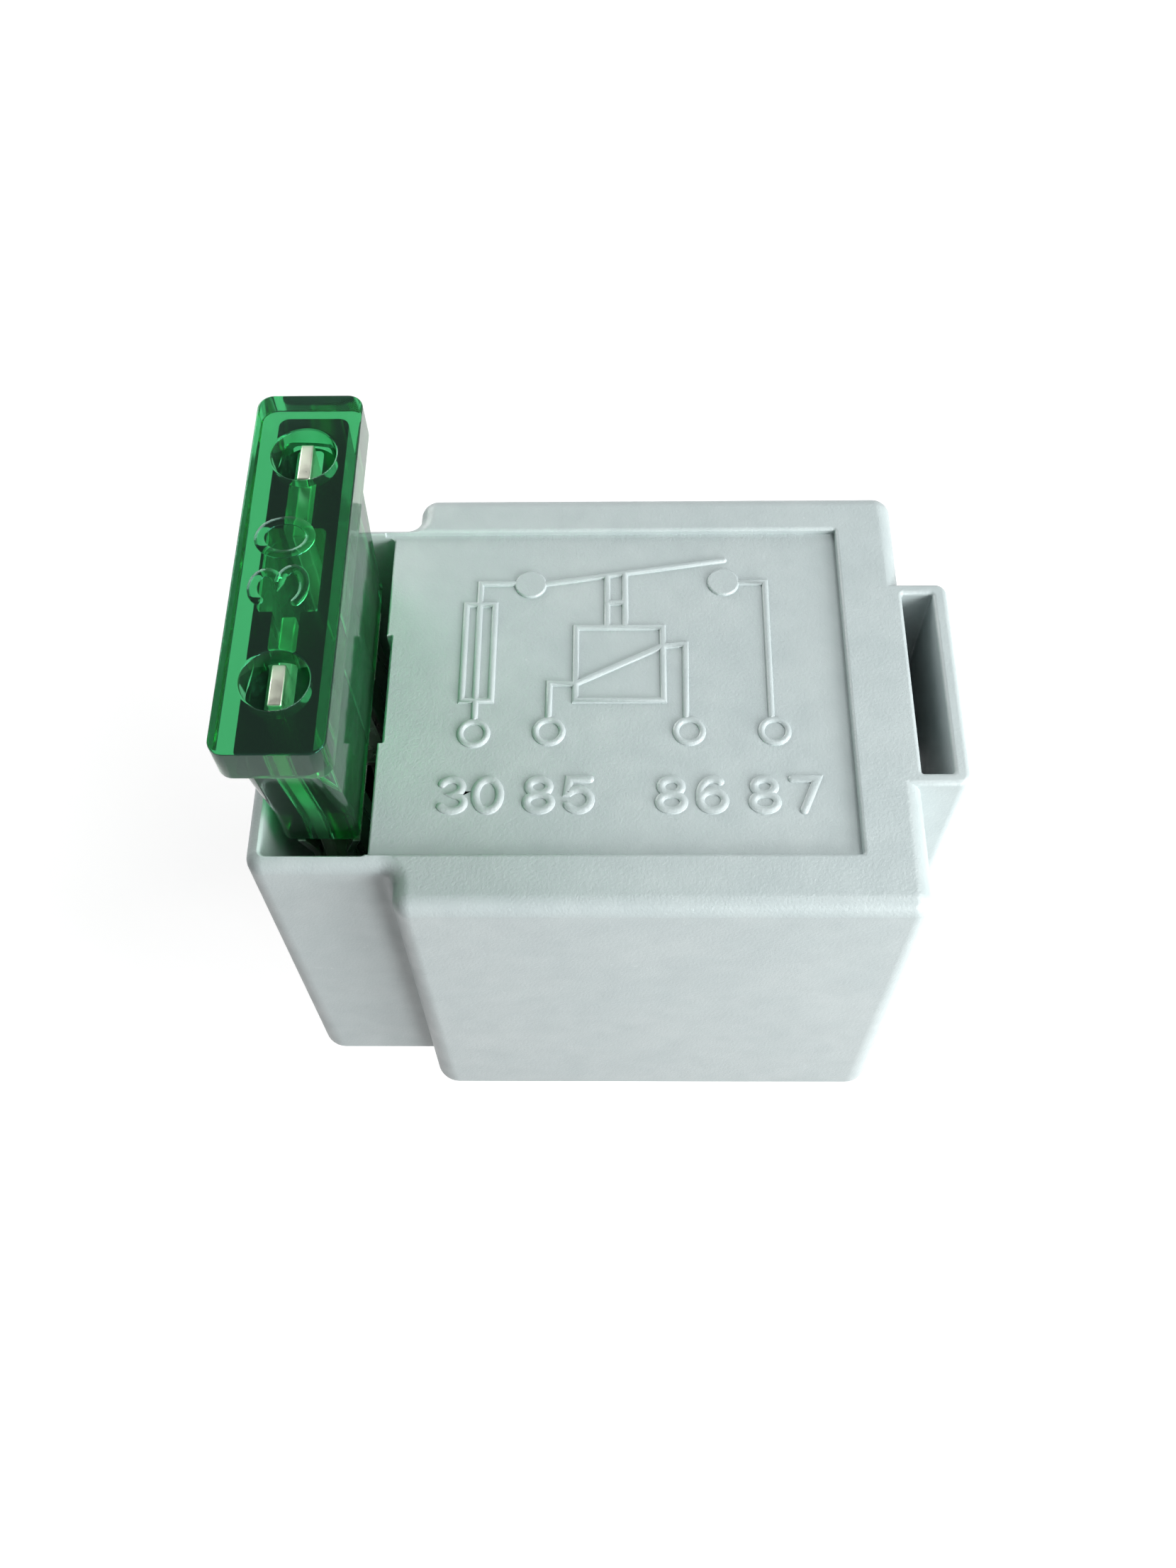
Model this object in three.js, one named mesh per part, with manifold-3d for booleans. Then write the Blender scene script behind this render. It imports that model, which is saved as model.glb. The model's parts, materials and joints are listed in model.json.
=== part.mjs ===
// A plug in relay with a built in blade fuse: a moulded cover with a fuse pocket on its left and a
// bracket loop on its right, a base with four blade terminals, and the coil, the armature and the
// contacts inside.
// Millimetres. +Z is up, +X is to the loop's side, and the front is -Y. The origin is the centre of
// the base's underside, which is the face that seats on a socket.
import * as THREE from "three";
import { mergeVertices } from "three/addons/utils/BufferGeometryUtils.js";
import Module from "manifold-3d";

const wasm = await Module();
wasm.setup();

// ---- Driving dimensions -------------------------------------------------------------------------
// Clearance between pieces that touch each other on the real relay.
const GAP = 0.3;

// Cover. Its widths are those at the top edge, and the walls flare out by DRAFT at the bottom.
const COVER_H = 25.2;
const BLOCK_W = 25.4;
const BLOCK_D = 24.6;
const DRAFT = 0.4;
const TOP_ROUND = 0.9;
const BLOCK_CORNER = 1.2;
const INNER_CORNER = 0.7;
const CAVITY_W = 22.8;
const CAVITY_D = 22.2;
const CEILING_Z = 23.4;

// Sunken panel of the cover's top, open to the pocket on its left.
const PANEL_DEPTH = 0.4;
const PANEL_RIGHT = 9.55;
const PANEL_FRONT = -9.3;
const PANEL_BACK = 9.85;

// Fuse pocket.
const POCKET_LEFT = -19.87;
const POCKET_FRONT = -10.1;
const POCKET_BACK = 10.3;
const MOUTH_LEFT = -19.1;
const MOUTH_RIGHT = -14.0;
const MOUTH_FRONT = -9.35;
const MOUTH_BACK = 9.7;
const POCKET_WALL_RIGHT = -12.6;
const NOTCH_X = -13.7;
const NOTCH_FRONT = -3.0;
const NOTCH_BACK = 3.45;
const STRIP_PASSAGE_Z = 4.2;

// Loop for a mounting bracket.
const LOOP_RIGHT = 15.08;
const LOOP_FRONT = -5.63;
const LOOP_BACK = 6.3;
const LOOP_BOTTOM = 9.0;
const SLOT_LEFT = 12.72;
const SLOT_RIGHT = 14.29;
const SLOT_FRONT = -4.98;
const SLOT_BACK = 5.65;

// Base.
const BASE_T = 2.4;
const BASE_SEAT_H = 1.2;

// Blade terminals, 6.3 x 0.8 mm.
const BLADE_W = 6.3;
const BLADE_T = 0.8;
const BLADE_L = 11;
const BLADE_TIP = 1.1;
const BLADE_HOLE_R = 0.8;
const BLADE_HOLE_UP = 4;
const BLADE_HOLE = [0, -BLADE_L + BLADE_HOLE_UP, BLADE_HOLE_R];
const TERMINAL_30_Y = 7.0;
const TERMINAL_87_Y = -7.9;
const COIL_TERMINAL_X = 8.4;
const TAG_TOP = 8.5;
const STRIP_Z = BASE_T + GAP;
const STRIP_T = 0.8;

// Terminal 87's riser and the shelf that carries the fixed contact.
const RISER_W = 4.4;
const SHELF_TOP = 18.0;
const SHELF_FRONT = -10.7;

// Common strip's riser to the braid.
const COMMON_X = -9.9;
const COMMON_TOP = 15.2;
const COMMON_FRONT = -7.2;
const COMMON_BACK = -4.5;

// Blade fuse of the regular size, its head about 19.5 x 5 mm.
const FUSE_X = -16.6;
const FUSE_Y = 0.13;
const FUSE_TOP = 35.4;
const FUSE_HEAD_W = 5.02;
const FUSE_HEAD_L = 19.7;
const FUSE_HEAD_H = 2.15;
const FUSE_BODY_W = 3.8;
const FUSE_BODY_L = 15.5;
const FUSE_BODY_H = 12.3;
const FUSE_SHOULDER_L = 18.9;
const FUSE_WAIST_L = 17.5;
const FUSE_WAIST_DROP = 3;
const FUSE_NECK_H = 7.5;
const FUSE_BLADE_W = 5.2;
const FUSE_BLADE_T = 0.65;
const FUSE_BLADE_SPACING = 9.6;
const FUSE_BLADE_OUT = 6.5;
const FUSE_WINDOW_R = 1.5;
const FUSE_WINDOW_Y = 6.2;
const FUSE_WINDOW_DEPTH = 1.3;
const FUSE_TAB_TOP = FUSE_TOP - 0.5;
const FUSE_BLADE_TOP = FUSE_TOP - 1.5;
const FUSE_BOTTOM = FUSE_TOP - FUSE_BODY_H;
const CHAMBER_W = FUSE_BLADE_T + 2 * GAP;
const CHAMBER_TOP = FUSE_TOP - 1.0;

// Fuse clips, which grip the fuse's blades.
const CLIP_BOTTOM = 12.2;
const CLIP_MOUTH = 21.6;
const CLIP_W = 4.4;
const CLIP_T = 0.4;
const CLIP_HALF_W = 1.0;
const CLIP_FLARE = 1.2;
const CLIP_BACK_Y = FUSE_Y + FUSE_BLADE_SPACING / 2;
const CLIP_FRONT_Y = FUSE_Y - FUSE_BLADE_SPACING / 2;

// Magnet system: the coil stands on its end, with its axis along Z.
const COIL_Y = 0.5;
const CORE_R = 3.0;
const POLE_R = 4.2;
const POLE_H = 1.0;
const YOKE_T = 1.3;
const YOKE_W = 10;
const YOKE_FOOT_Z = 3.9;
const YOKE_BACK = 8.7;
const YOKE_TOP = 18.8;
const BOBBIN_W = 13;
const BOBBIN_BOTTOM = 5.5;
const BOBBIN_TOP = 17.5;
const FLANGE_T = 1.0;
const WINDING_R = 6.1;

// Armature, which rocks on the yoke's top edge. It is drawn closed and then lifted by REST_TILT.
const HINGE_Y = 7.95;
const HINGE_Z = YOKE_TOP + GAP;
const REST_TILT = THREE.MathUtils.degToRad(3.2);
const ARMATURE_T = 1.2;
const ARMATURE_W = 8.4;
const ARMATURE_FRONT = -13.2;
const ARMATURE_TAIL = 2.7;
const LEAF_T = 0.3;
const LEAF_W = 4.8;
const LEAF_BACK = -3;
const LEAF_OVERHANG = 1.3;
const RIVET_Y = [-5, -9];
const RIVET_R = 0.5;
const CONTACT_Y = -9.5;
const CONTACT_R = 1.3;
const CONTACT_STEM_R = 0.6;
const MOVING_FACE = 0.3;
const FIXED_FACE = HINGE_Z + MOVING_FACE - 0.1;

// Stops of the armature.
const EAR_INNER = ARMATURE_W / 2 + GAP;
const EAR_BACK = -1.9;
const EAR_FRONT = -4.6;
const EAR_T = 0.8;
const EAR_LIP = 1.1;
const STOP_Z = 21.25;

// Return spring, between the yoke's hook and the armature's tail.
const SPRING_Y = 9.95;
const SPRING_LOW = 8.2;
const SPRING_HIGH = 18.4;
const SPRING_TURNS = 8;
const SPRING_R = 0.75;
const SPRING_WIRE_R = 0.2;

// ---- Solids -------------------------------------------------------------------------------------
function solid(geometry) {
  const bare = geometry.clone();
  bare.deleteAttribute("normal");
  bare.deleteAttribute("uv");
  const merged = mergeVertices(bare, 1e-4);
  return new wasm.Manifold(
    new wasm.Mesh({
      numProp: 3,
      vertProperties: new Float32Array(merged.attributes.position.array),
      triVerts: new Uint32Array(merged.index.array),
    }),
  );
}

function geometryOf(body) {
  const mesh = body.getMesh();
  const geometry = new THREE.BufferGeometry();
  geometry.setAttribute("position", new THREE.BufferAttribute(mesh.vertProperties, 3));
  geometry.setIndex(new THREE.BufferAttribute(mesh.triVerts, 1));
  geometry.computeVertexNormals();
  return geometry;
}

function join(...bodies) {
  return bodies.reduce((whole, next) => whole.add(next));
}

function cut(body, ...tools) {
  return tools.reduce((rest, tool) => rest.subtract(tool), body);
}

function box(x0, x1, y0, y1, z0, z1) {
  const geometry = new THREE.BoxGeometry(x1 - x0, y1 - y0, z1 - z0);
  geometry.translate((x0 + x1) / 2, (y0 + y1) / 2, (z0 + z1) / 2);
  return solid(geometry);
}

function rod(radius, x, y, z0, z1, sides = 24) {
  const geometry = new THREE.CylinderGeometry(radius, radius, z1 - z0, sides);
  geometry.rotateX(Math.PI / 2);
  geometry.translate(x, y, (z0 + z1) / 2);
  return solid(geometry);
}

// The outline of a plan with square corners, grown outwards by grow. Each corner is [x, y, radius],
// anticlockwise. A hollow corner's radius shrinks as the plan grows, so the outlines stay parallel.
function outline(corners, grow = 0, steps = 5) {
  const points = [];
  corners.forEach(([x, y, radius], i) => {
    const before = corners[(i + corners.length - 1) % corners.length];
    const after = corners[(i + 1) % corners.length];
    const ahead = new THREE.Vector2(x - before[0], y - before[1]).normalize();
    const next = new THREE.Vector2(after[0] - x, after[1] - y).normalize();
    const side = Math.sign(ahead.cross(next));
    const left = new THREE.Vector2(-ahead.y, ahead.x);
    const r = radius + side * grow;
    const corner = new THREE.Vector2(x, y)
      .addScaledVector(left, -grow)
      .addScaledVector(ahead, side * grow);
    const centre = corner.addScaledVector(ahead, -r).addScaledVector(left, side * r);
    for (let k = 0; k <= steps; k++) {
      const angle = (Math.PI / 2) * (k / steps);
      points.push(
        centre
          .clone()
          .addScaledVector(left, -side * r * Math.cos(angle))
          .addScaledVector(ahead, r * Math.sin(angle)),
      );
    }
  });
  return points;
}

function rectangle(x0, x1, y0, y1, radius) {
  return [
    [x0, y0, radius],
    [x1, y0, radius],
    [x1, y1, radius],
    [x0, y1, radius],
  ];
}

// A closed body through outlines with equal numbers of points, each [z, points], from low to high.
function loft(rings) {
  const count = rings[0][1].length;
  const position = [];
  const index = [];
  for (const [z, points] of rings) {
    for (const p of points) position.push(p.x, p.y, z);
  }
  for (let ring = 0; ring + 1 < rings.length; ring++) {
    for (let i = 0; i < count; i++) {
      const a = ring * count + i;
      const b = ring * count + ((i + 1) % count);
      index.push(a, b, b + count, a, b + count, a + count);
    }
  }
  const top = (rings.length - 1) * count;
  for (const [a, b, c] of THREE.ShapeUtils.triangulateShape(rings[0][1], [])) index.push(c, b, a);
  for (const [a, b, c] of THREE.ShapeUtils.triangulateShape(rings.at(-1)[1], [])) {
    index.push(top + a, top + b, top + c);
  }
  const geometry = new THREE.BufferGeometry();
  geometry.setAttribute("position", new THREE.Float32BufferAttribute(position, 3));
  geometry.setIndex(index);
  return solid(geometry);
}

// A body with the same plan all the way from z0 to z1.
function prism(corners, z0, z1, steps = 2) {
  const points = outline(corners, 0, steps);
  return loft([
    [z0, points],
    [z1, points],
  ]);
}

// The rings of a rounded edge that closes in at the top, from the wall up to the top face.
function roundedTop(corners, z, radius, grow = 0, steps = 4) {
  const rings = [];
  for (let k = 0; k <= steps; k++) {
    const angle = (Math.PI / 2) * (k / steps);
    const inset = radius * (1 - Math.cos(angle));
    rings.push([z - radius + radius * Math.sin(angle), outline(corners, grow - inset)]);
  }
  return rings;
}

// A sheet metal piece: a flat outline of [u, z] points that is thick across, centred on x or y.
function sheet(points, thickness, across, at, holes = []) {
  const shape = new THREE.Shape(points.map(([u, z]) => new THREE.Vector2(u, z)));
  for (const [u, z, r] of holes) {
    shape.holes.push(new THREE.Path().absarc(u, z, r, 0, 2 * Math.PI, true));
  }
  const geometry = new THREE.ExtrudeGeometry(shape, {
    depth: thickness,
    bevelEnabled: false,
    curveSegments: 8,
  });
  geometry.rotateX(Math.PI / 2);
  geometry.translate(0, thickness / 2, 0);
  if (across === "x") geometry.rotateZ(Math.PI / 2);
  geometry.translate(...at);
  return solid(geometry);
}

// A round wire along a smooth curve through the points.
function wire(points, radius, sides, steps) {
  const curve = new THREE.CatmullRomCurve3(points.map((p) => new THREE.Vector3(...p)));
  return wireAlong(curve, radius, sides, steps);
}

function wireAlong(curve, radius, sides, steps) {
  const ring = [];
  for (let k = 0; k < sides; k++) {
    const angle = (2 * Math.PI * k) / sides;
    ring.push(new THREE.Vector2(radius * Math.cos(angle), radius * Math.sin(angle)));
  }
  return new THREE.ExtrudeGeometry(new THREE.Shape(ring), { steps, extrudePath: curve });
}

// ---- Cover --------------------------------------------------------------------------------------
function coverCorners() {
  const x = BLOCK_W / 2;
  const y = BLOCK_D / 2;
  return [
    [-x, -y, BLOCK_CORNER],
    [x, -y, BLOCK_CORNER],
    [x, y, BLOCK_CORNER],
    [-x, y, BLOCK_CORNER],
    [-x, POCKET_BACK, INNER_CORNER],
    [POCKET_LEFT, POCKET_BACK, BLOCK_CORNER],
    [POCKET_LEFT, POCKET_FRONT, BLOCK_CORNER],
    [-x, POCKET_FRONT, INNER_CORNER],
  ];
}

function bracketLoop() {
  const corners = rectangle(PANEL_RIGHT + 1, LOOP_RIGHT, LOOP_FRONT, LOOP_BACK, 0.5);
  return loft([
    [LOOP_BOTTOM, outline(corners, 0, 3)],
    [COVER_H - 0.3, outline(corners, 0, 3)],
    [COVER_H, outline(corners, -0.2, 3)],
  ]);
}

function cover() {
  const corners = coverCorners();
  const shell = loft([[0, outline(corners, DRAFT)], ...roundedTop(corners, COVER_H, TOP_ROUND)]);
  const cavity = prism(
    rectangle(-CAVITY_W / 2, CAVITY_W / 2, -CAVITY_D / 2, CAVITY_D / 2, 0.6), -1, CEILING_Z,
  );
  const mouth = prism(
    rectangle(MOUTH_LEFT, MOUTH_RIGHT, MOUTH_FRONT, MOUTH_BACK, 0.3), -1, COVER_H + 1,
  );
  const sideBay = box(POCKET_WALL_RIGHT, -11, MOUTH_FRONT + 0.6, MOUTH_BACK - 0.6, -1, CEILING_Z);
  const passage = box(MOUTH_RIGHT - 1, -11, MOUTH_FRONT + 0.01, MOUTH_BACK - 0.01, -1, STRIP_PASSAGE_Z);
  const panel = box(
    MOUTH_RIGHT - 0.5, PANEL_RIGHT, PANEL_FRONT, PANEL_BACK, COVER_H - PANEL_DEPTH, COVER_H + 1,
  );
  const notch = box(MOUTH_RIGHT - 0.5, NOTCH_X, NOTCH_FRONT, NOTCH_BACK, CEILING_Z, COVER_H + 1);
  const slot = box(SLOT_LEFT, SLOT_RIGHT, SLOT_FRONT, SLOT_BACK, LOOP_BOTTOM - 1, COVER_H + 1);
  return cut(join(shell, bracketLoop()), cavity, mouth, sideBay, passage, panel, notch, slot);
}

// ---- Base and terminals -------------------------------------------------------------------------
function bladeSlot(x, y, across) {
  const w = BLADE_W / 2 + GAP;
  const t = BLADE_T / 2 + GAP;
  return across === "x"
    ? box(x - t, x + t, y - w, y + w, -1, BASE_T + 1)
    : box(x - w, x + w, y - t, y + t, -1, BASE_T + 1);
}

function base() {
  const x = CAVITY_W / 2 - GAP;
  const y = CAVITY_D / 2 - GAP;
  const wing = MOUTH_LEFT + GAP;
  const plan = [
    [-x, -y, 0.5],
    [x, -y, 0.5],
    [x, y, 0.5],
    [-x, y, 0.5],
    [-x, MOUTH_BACK - GAP, 0.3],
    [wing, MOUTH_BACK - GAP, 0.5],
    [wing, MOUTH_FRONT + GAP, 0.5],
    [-x, MOUTH_FRONT + GAP, 0.3],
  ];
  const plate = prism(plan, 0, BASE_T);
  const seats = [-4, 4].flatMap((sx) =>
    [-3.6, 4.4].map((sy) => box(sx - 0.9, sx + 0.9, sy - 0.6, sy + 0.6, 1, BASE_T + BASE_SEAT_H)),
  );
  return cut(
    join(plate, ...seats),
    bladeSlot(0, TERMINAL_30_Y, "x"),
    bladeSlot(0, TERMINAL_87_Y, "y"),
    bladeSlot(-COIL_TERMINAL_X, 0, "x"),
    bladeSlot(COIL_TERMINAL_X, 0, "x"),
  );
}

// The outline of a blade with chamfered tips, its right half from the tip up to z.
function bladeHalf() {
  const w = BLADE_W / 2;
  return [
    [w - BLADE_TIP, -BLADE_L],
    [w, -BLADE_L + BLADE_TIP],
  ];
}

function mirrored(half) {
  return [...half, ...half.map(([u, z]) => [-u, z]).reverse()];
}

function terminal30() {
  const half = [...bladeHalf(), [BLADE_W / 2, BASE_T]];
  return sheet(mirrored(half), BLADE_T, "x", [0, TERMINAL_30_Y, 0], [BLADE_HOLE]);
}

function coilTerminal(x) {
  const half = [
    ...bladeHalf(),
    [BLADE_W / 2, STRIP_Z],
    [BLADE_W / 2 + 0.6, STRIP_Z],
    [BLADE_W / 2 + 0.6, STRIP_Z + STRIP_T],
    [1, STRIP_Z + STRIP_T + 1],
    [1, TAG_TOP],
  ];
  return sheet(mirrored(half), BLADE_T, "x", [x, 0, 0], [BLADE_HOLE]);
}

function terminal87() {
  const half = [
    ...bladeHalf(),
    [BLADE_W / 2, STRIP_Z],
    [BLADE_W / 2 + 0.6, STRIP_Z],
    [BLADE_W / 2 + 0.6, STRIP_Z + STRIP_T],
    [RISER_W / 2, STRIP_Z + STRIP_T + 1.5],
    [RISER_W / 2, SHELF_TOP],
  ];
  const riser = sheet(mirrored(half), BLADE_T, "y", [0, TERMINAL_87_Y, 0], [BLADE_HOLE]);
  const shelf = box(
    -RISER_W / 2, RISER_W / 2, SHELF_FRONT, TERMINAL_87_Y + BLADE_T / 2, SHELF_TOP - STRIP_T, SHELF_TOP,
  );
  return cut(join(riser, shelf), rod(CONTACT_STEM_R + GAP, 0, CONTACT_Y, 10, 20, 16));
}

// ---- Fuse circuit -------------------------------------------------------------------------------
// A fork of two leaves that pinch the fuse's blade from both sides, on a stem.
function fuseClip(y) {
  const inner = FUSE_BLADE_T / 2 + GAP;
  const leaf = [
    [CLIP_HALF_W, CLIP_BOTTOM + 0.6],
    [CLIP_HALF_W, CLIP_BOTTOM + 3],
    [inner, CLIP_MOUTH - 2],
    [inner, CLIP_MOUTH - 1.4],
    [CLIP_FLARE, CLIP_MOUTH],
  ];
  const half = [
    [0.7, CLIP_BOTTOM],
    [CLIP_HALF_W + CLIP_T, CLIP_BOTTOM + 0.6],
    [CLIP_HALF_W + CLIP_T, CLIP_BOTTOM + 3],
    [inner + CLIP_T, CLIP_MOUTH - 2],
    [inner + CLIP_T, CLIP_MOUTH - 1.4],
    [CLIP_FLARE + CLIP_T, CLIP_MOUTH],
    ...leaf.toReversed(),
    [0.5, CLIP_BOTTOM + CLIP_T],
  ];
  const fork = sheet(mirrored(half), CLIP_W, "y", [FUSE_X, y, 0]);
  const stem = box(
    FUSE_X - 0.4, FUSE_X + 0.4, y - 1.2, y + 1.2, STRIP_Z + STRIP_T + GAP, CLIP_BOTTOM + 0.2,
  );
  return join(fork, stem);
}

function feedStrip() {
  const left = FUSE_X - 1;
  return join(
    box(left, 1, 5.4, 8.2, STRIP_Z, STRIP_Z + STRIP_T),
    box(left, FUSE_X + 1.2, CLIP_BACK_Y - 1.4, 8.2, STRIP_Z, STRIP_Z + STRIP_T),
  );
}

function commonStrip() {
  const right = COMMON_X + STRIP_T / 2;
  return join(
    box(FUSE_X - 1, right, COMMON_FRONT, COMMON_BACK, STRIP_Z, STRIP_Z + STRIP_T),
    box(FUSE_X - 1, FUSE_X + 1.2, COMMON_FRONT, CLIP_FRONT_Y + 1.4, STRIP_Z, STRIP_Z + STRIP_T),
    box(COMMON_X - STRIP_T / 2, right, COMMON_FRONT, COMMON_BACK, STRIP_Z, COMMON_TOP),
  );
}

function fusePlan(width, length, radius) {
  return rectangle(
    FUSE_X - width / 2, FUSE_X + width / 2, FUSE_Y - length / 2, FUSE_Y + length / 2, radius,
  );
}

// A head that overhangs the body all round, and shoulders that slope in to the body at its ends.
function fuseHousing() {
  const head = fusePlan(FUSE_HEAD_W, FUSE_HEAD_L, 0.9);
  const under = FUSE_TOP - FUSE_HEAD_H;
  const body = (length, grow = 0) => outline(fusePlan(FUSE_BODY_W, length, 0.6), grow);
  const outer = join(
    loft([
      [FUSE_BOTTOM, body(FUSE_BODY_L, -0.3)],
      [FUSE_BOTTOM + 0.3, body(FUSE_BODY_L)],
      [under - FUSE_NECK_H, body(FUSE_BODY_L)],
      [under - FUSE_WAIST_DROP, body(FUSE_WAIST_L)],
      [under + 0.5, body(FUSE_SHOULDER_L)],
    ]),
    loft([
      [under, outline(head, -0.2)],
      [under + 0.2, outline(head)],
      ...roundedTop(head, FUSE_TOP, 0.4, 0, 3),
    ]),
  );
  const half = FUSE_BLADE_SPACING / 2 + FUSE_BLADE_W / 2 - 0.2;
  const slot = box(
    FUSE_X - CHAMBER_W / 2, FUSE_X + CHAMBER_W / 2,
    FUSE_Y - half - GAP, FUSE_Y + half + GAP,
    FUSE_BOTTOM - 1, CHAMBER_TOP,
  );
  const windows = [-1, 1].map((side) =>
    rod(
      FUSE_WINDOW_R, FUSE_X, FUSE_Y + side * FUSE_WINDOW_Y, FUSE_TOP - FUSE_WINDOW_DEPTH, FUSE_TOP + 1,
    ),
  );
  return cut(outer, slot, ...windows);
}

// One blade of the fuse: the plug-in part, and a tab that stands up into the test window.
function fuseBlade(side) {
  const inner = FUSE_BLADE_SPACING / 2 - FUSE_BLADE_W / 2;
  const outer = inner + FUSE_BLADE_W - 0.2;
  const tab = FUSE_WINDOW_Y - 1.1;
  const low = FUSE_BOTTOM - FUSE_BLADE_OUT;
  const points = [
    [inner, low + 0.7],
    [inner + 0.7, low],
    [outer - 0.7, low],
    [outer, low + 0.7],
    [outer, FUSE_TAB_TOP],
    [tab, FUSE_TAB_TOP],
    [tab, FUSE_BLADE_TOP],
    [inner, FUSE_BLADE_TOP],
  ];
  const turned = side > 0 ? points : points.map(([u, z]) => [-u, z]).reverse();
  return sheet(turned, FUSE_BLADE_T, "x", [FUSE_X, FUSE_Y, 0]);
}

// The thin link that melts, bent as an S between the blades.
function fuseElement() {
  const reach = FUSE_BLADE_SPACING / 2 - FUSE_BLADE_W / 2 - GAP;
  const z = FUSE_BOTTOM + 3.6;
  const points = [
    [-reach, z],
    [-reach + 0.5, z],
    [-0.7, z + 2.4],
    [0, z + 2.9],
    [0.7, z + 2.4],
    [reach - 0.5, z],
    [reach, z],
    [reach, z + 0.8],
    [reach - 0.4, z + 0.8],
    [0.9, z + 3.3],
    [0, z + 3.8],
    [-0.9, z + 3.3],
    [-reach + 0.4, z + 0.8],
    [-reach, z + 0.8],
  ];
  return sheet(points, 0.4, "x", [FUSE_X, FUSE_Y, 0]);
}

// ---- Magnet system ------------------------------------------------------------------------------
function core() {
  return join(
    rod(CORE_R, 0, COIL_Y, YOKE_FOOT_Z - 0.5, YOKE_TOP - POLE_H, 28),
    rod(POLE_R, 0, COIL_Y, YOKE_TOP - POLE_H, YOKE_TOP, 32),
  );
}

// A stop of the armature: an ear of the bobbin's upper flange that reaches over its edge.
function stopEar(side) {
  const x0 = side > 0 ? EAR_INNER : -BOBBIN_W / 2;
  const lip = side > 0 ? EAR_INNER - EAR_LIP : -EAR_INNER;
  return join(
    box(x0, x0 + BOBBIN_W / 2 - EAR_INNER, EAR_FRONT, EAR_BACK, BOBBIN_TOP - 0.5, STOP_Z + EAR_T),
    box(lip, lip + EAR_LIP, EAR_FRONT, EAR_BACK, STOP_Z, STOP_Z + EAR_T),
  );
}

function bobbin() {
  const half = BOBBIN_W / 2;
  const plan = rectangle(-half, half, COIL_Y - half, COIL_Y + half - 0.6, 1);
  const flange = (z) => prism(plan, z, z + FLANGE_T, 3);
  return cut(
    join(
      flange(BOBBIN_BOTTOM),
      flange(BOBBIN_TOP - FLANGE_T),
      rod(CORE_R + 1.0, 0, COIL_Y, BOBBIN_BOTTOM, BOBBIN_TOP),
      stopEar(-1),
      stopEar(1),
    ),
    rod(CORE_R + GAP, 0, COIL_Y, BOBBIN_BOTTOM - 1, BOBBIN_TOP + 1, 28),
  );
}

function winding() {
  const inner = CORE_R + 1.0 + GAP;
  const low = BOBBIN_BOTTOM + FLANGE_T + GAP;
  const high = BOBBIN_TOP - FLANGE_T - GAP;
  const profile = [
    [inner, low],
    [WINDING_R, low],
    [WINDING_R, high],
    [inner, high],
    [inner, low],
  ];
  const geometry = new THREE.LatheGeometry(profile.map((p) => new THREE.Vector2(...p)), 36);
  geometry.rotateX(Math.PI / 2);
  geometry.translate(0, COIL_Y, 0);
  return solid(geometry);
}

function yoke() {
  const half = YOKE_W / 2;
  const foot = box(-half, half, -5.6, YOKE_BACK, YOKE_FOOT_Z, YOKE_FOOT_Z + YOKE_T);
  const back = box(-half, half, YOKE_BACK - YOKE_T, YOKE_BACK, YOKE_FOOT_Z, YOKE_TOP);
  const hook = box(-1, 1, YOKE_BACK - 0.2, YOKE_BACK + 2.0, 7.0, 7.9);
  return cut(join(foot, back, hook), rod(CORE_R + GAP, 0, COIL_Y, 2, 8, 28));
}

class SpringCurve extends THREE.Curve {
  getPoint(t) {
    const angle = 2 * Math.PI * SPRING_TURNS * t;
    const z = SPRING_LOW + 0.2 + (SPRING_HIGH - SPRING_LOW - 0.4) * t;
    return new THREE.Vector3(
      SPRING_R * Math.cos(angle), SPRING_Y + SPRING_R * Math.sin(angle), z,
    );
  }
}

// ---- Moving pieces, in the armature's own frame -------------------------------------------------
function armature() {
  const half = ARMATURE_W / 2;
  const plan = rectangle(-half, half, ARMATURE_FRONT, 0.5, 0.8);
  const plate = prism(plan, 0, ARMATURE_T, 3);
  const tail = box(-1.6, 1.6, 0, ARMATURE_TAIL, 0, ARMATURE_T);
  const holes = RIVET_Y.map((y) => rod(RIVET_R + GAP, 0, y, -1, 3, 16));
  return cut(join(plate, tail), ...holes);
}

function contactLeaf() {
  const z = ARMATURE_T + GAP;
  const half = LEAF_W / 2;
  const front = CONTACT_Y - HINGE_Y;
  const strip = prism(
    rectangle(-half, half, front - LEAF_OVERHANG, LEAF_BACK, 0.7), z, z + LEAF_T, 3,
  );
  const holes = RIVET_Y.map((y) => rod(RIVET_R + GAP, 0, y, z - 1, z + 2, 16));
  return cut(strip, ...holes, rod(CONTACT_STEM_R + GAP, 0, front, z - 1, z + 2, 16));
}

// The rivets that hold the leaf to the armature share one node.
function leafRivet(y) {
  const top = ARMATURE_T + 2 * GAP + LEAF_T;
  return join(rod(RIVET_R, 0, y, 0.35, top + 0.1, 12), rod(1.0, 0, y, top, top + 0.35, 16));
}

// A contact is a button on a stem that passes through its carrier to a small head behind it.
function contact(y, faceZ, carrierNear, carrierFar) {
  const way = Math.sign(carrierNear - faceZ);
  const near = carrierNear - way * GAP;
  const far = carrierFar + way * GAP;
  const button = rod(CONTACT_R, 0, y, Math.min(faceZ, near), Math.max(faceZ, near), 20);
  const stem = rod(CONTACT_STEM_R, 0, y, Math.min(near, far) - 0.05, Math.max(near, far) + 0.05, 12);
  const back = far + way * 0.35;
  const head = rod(0.95, 0, y, Math.min(far, back), Math.max(far, back), 16);
  return join(button, stem, head);
}

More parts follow.
